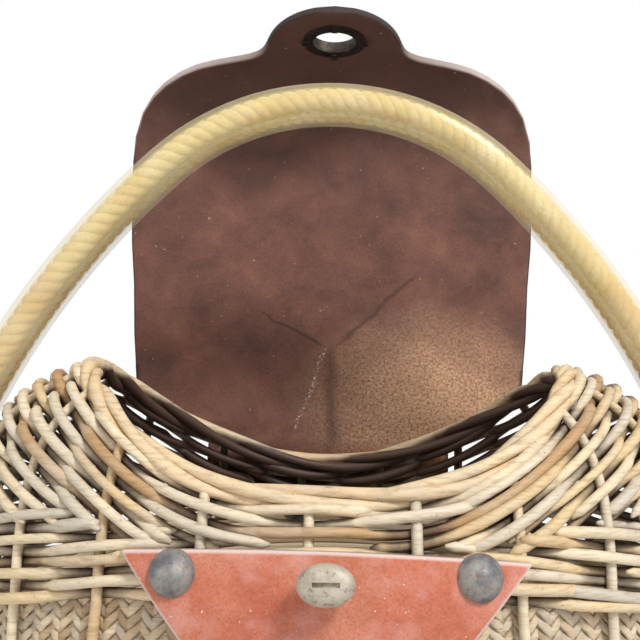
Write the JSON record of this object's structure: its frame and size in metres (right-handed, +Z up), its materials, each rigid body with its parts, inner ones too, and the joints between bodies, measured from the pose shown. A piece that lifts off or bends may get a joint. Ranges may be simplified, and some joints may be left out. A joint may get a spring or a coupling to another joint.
{
  "type": "wicker creel",
  "caption": "Woven willow fishing creel with an open leather lid on a rear hinge, a turn-lock on a riveted leather patch, and an arched twin-tube carrying handle.",
  "frame": {"origin": "middle of the flat base, on the surface that the creel stands on", "axes": "+Z up, +X to the right of somebody facing the front, +Y from the front with the turn lock to the back with the lid's hinge"},
  "size_m": [0.3386, 0.2222, 0.3465],
  "materials": {
    "willow": "dry peeled willow",
    "straw_plait": "dry plaited straw",
    "patch_leather": "worn matt leather",
    "lid_leather": "suede leather",
    "pewter_grey_steel": "dull",
    "worn_lock_metal": "worn",
    "dark_eyelet_metal": "darkened",
    "old_brass": "dull",
    "clear_tube": "clear, yellowed",
    "rope": "twisted cord"
  },
  "bodies": {
    "basket": {"basket_base": "willow", "foot_border": "willow", "lower_wall": "willow", "plaited_band": "straw_plait", "side_stakes": "willow", "upper_wall": "willow", "rim_border": "willow", "front_patch": "patch_leather", "patch_rivets": "pewter_grey_steel", "patch_rivet_washers": "pewter_grey_steel", "lock_collar": "worn_lock_metal", "lock_backplate": "worn_lock_metal", "hinge_strip": "lid_leather", "strip_rivets": "pewter_grey_steel", "strip_rivet_washers": "pewter_grey_steel", "pivot_stud_left": "pewter_grey_steel", "pivot_stud_right": "pewter_grey_steel", "stud_spacer_left": "pewter_grey_steel", "stud_spacer_right": "pewter_grey_steel", "stud_nut_left": "pewter_grey_steel", "stud_nut_right": "pewter_grey_steel", "end_pad_left": "lid_leather", "end_pad_right": "lid_leather"},
    "lid_rear": {"lid_rear": "lid_leather"},
    "lid_front": {"lid_front": "lid_leather"},
    "lid_flap": {"lid_flap": "lid_leather", "eyelet_front": "dark_eyelet_metal", "eyelet_back": "dark_eyelet_metal"},
    "turn_knob": {"turn_knob": "worn_lock_metal", "knob_spindle": "worn_lock_metal"},
    "handle": {"handle_tube_front": "clear_tube", "handle_tube_rear": "clear_tube", "rope_core_front": "rope", "rope_core_rear": "rope", "handle_yoke_left": "old_brass", "handle_yoke_right": "old_brass"}
  },
  "joints": [
    {"name": "lid_hinge", "type": "hinge", "parent": "basket", "child": "lid_rear", "pos_m": [0, 0.076, 0.14], "axis": [1, 0, 0], "range_deg": [-10, 64.14], "deforming": ["lid_front", "lid_flap"]},
    {"name": "crest_fold", "type": "hinge", "parent": "lid_rear", "child": "lid_front", "pos_m": [0, 0.09939, 0.2165], "axis": [1, 0, 0], "range_deg": [-9.17, 57.74]},
    {"name": "flap_fold", "type": "hinge", "parent": "lid_front", "child": "lid_flap", "pos_m": [0, 0.11332, 0.30874], "axis": [-1, 0, 0], "range_deg": [-3.95, 24.27]},
    {"name": "knob_turn", "type": "hinge", "parent": "basket", "child": "turn_knob", "pos_m": [0, -0.08278, 0.1105], "axis": [0, -0.9686, 0.2487], "range_deg": [0, 90]},
    {"name": "handle_swing", "type": "hinge", "parent": "basket", "child": "handle", "pos_m": [0, 0, 0.121], "axis": [1, 0, 0], "range_deg": [-20, 70]}
  ],
  "couplings": [
    {"joint": "crest_fold", "follows": "lid_hinge", "ratio": 0.8971},
    {"joint": "flap_fold", "follows": "lid_hinge", "ratio": 0.3753}
  ]
}
